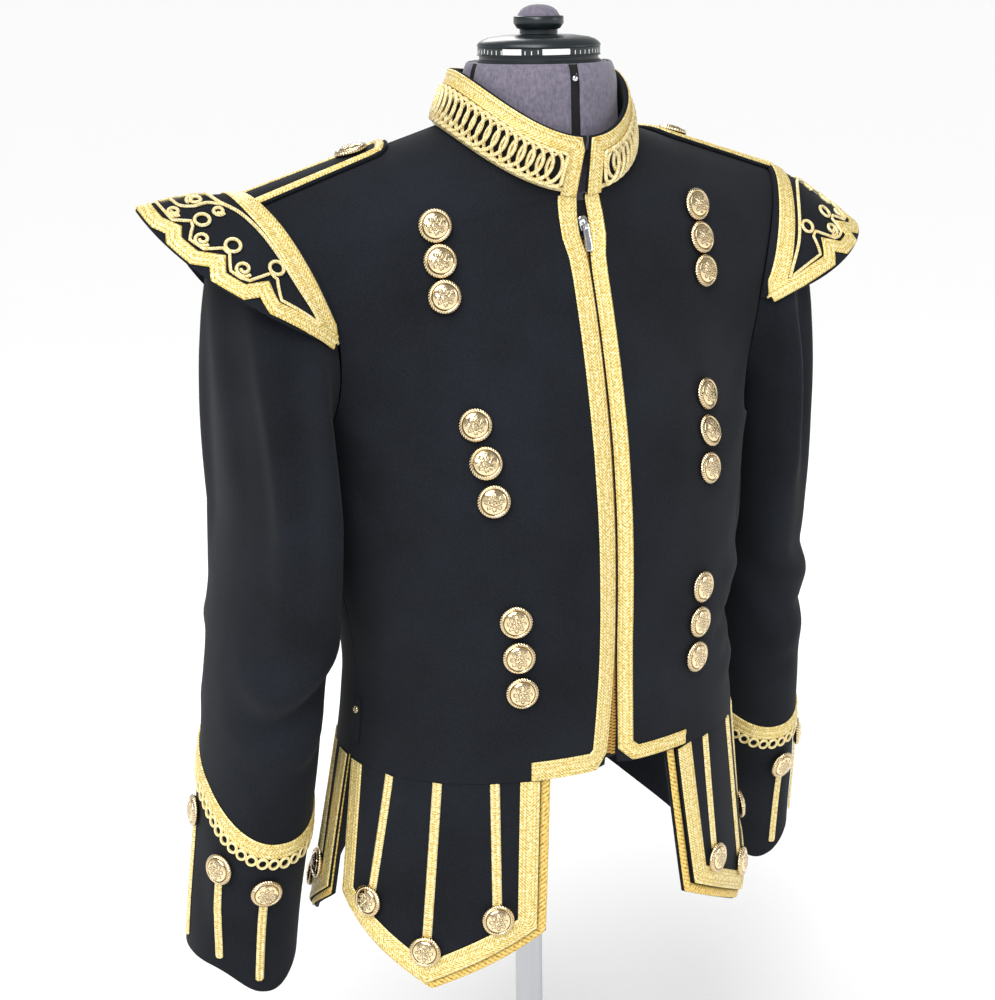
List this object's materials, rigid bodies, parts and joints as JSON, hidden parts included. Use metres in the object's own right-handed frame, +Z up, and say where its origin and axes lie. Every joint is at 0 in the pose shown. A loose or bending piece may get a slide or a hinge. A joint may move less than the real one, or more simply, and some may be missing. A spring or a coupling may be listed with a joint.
{
  "type": "military doublet on a limbless dress form",
  "caption": "Short military doublet with wings, braided cuffs and split skirt flaps, on a limbless dress form with a neck cap and a round stand; the zip's pull tab swings.",
  "frame": {"origin": "middle of the stand's underside, on the floor", "axes": "+Z up along the pole, the garment faces -Y, +X to the wearer's left"},
  "size_m": [0.5995, 0.3, 0.961],
  "materials": {
    "cloth": "matt wool barathea",
    "braid": "gold lace and cord",
    "gilt": "polished gilt, stamped",
    "tape": "woven zip tape",
    "nickel": "nickel plate",
    "jersey": "knitted cover",
    "plastic": "moulded, glossy",
    "steel": "brushed"
  },
  "bodies": {
    "stand_and_doublet": {"back": "cloth", "button_L1": "gilt", "button_L2": "gilt", "button_L3": "gilt", "button_L4": "gilt", "button_L5": "gilt", "button_L6": "gilt", "button_L7": "gilt", "button_L8": "gilt", "button_L9": "gilt", "button_R1": "gilt", "button_R2": "gilt", "button_R3": "gilt", "button_R4": "gilt", "button_R5": "gilt", "button_R6": "gilt", "button_R7": "gilt", "button_R8": "gilt", "button_R9": "gilt", "button_strap_L": "gilt", "button_strap_R": "gilt", "collar": "cloth", "collar_braid": "braid", "cuff_L": "cloth", "cuff_R": "cloth", "cuff_braid_L": "braid", "cuff_braid_R": "braid", "flap_back_L": "cloth", "flap_back_L_under": "cloth", "flap_back_R": "cloth", "flap_back_R_under": "cloth", "flap_braid_back_L": "braid", "flap_braid_back_R": "braid", "flap_braid_front_L": "braid", "flap_braid_front_R": "braid", "flap_front_L": "cloth", "flap_front_L_under": "cloth", "flap_front_R": "cloth", "flap_front_R_under": "cloth", "form_cap": "plastic", "form_knob": "plastic", "form_stand": "steel", "form_torso": "jersey", "front_L": "cloth", "front_R": "cloth", "front_braid_L": "braid", "front_braid_R": "braid", "side_tab_L": "cloth", "side_tab_R": "cloth", "sleeve_L": "cloth", "sleeve_R": "cloth", "strap_L": "cloth", "strap_R": "cloth", "wing_L": "cloth", "wing_R": "cloth", "wing_braid_L": "braid", "wing_braid_R": "braid", "zip_slider": "nickel", "zip_tape": "tape"},
    "pull_tab": {"zip_pull": "nickel"}
  },
  "joints": [
    {"name": "zip_pull", "type": "hinge", "parent": "stand_and_doublet", "child": "pull_tab", "pos_m": [0, -0.09072, 0.81386], "axis": [-1, 0, 0], "range_deg": [0, 120]}
  ]
}
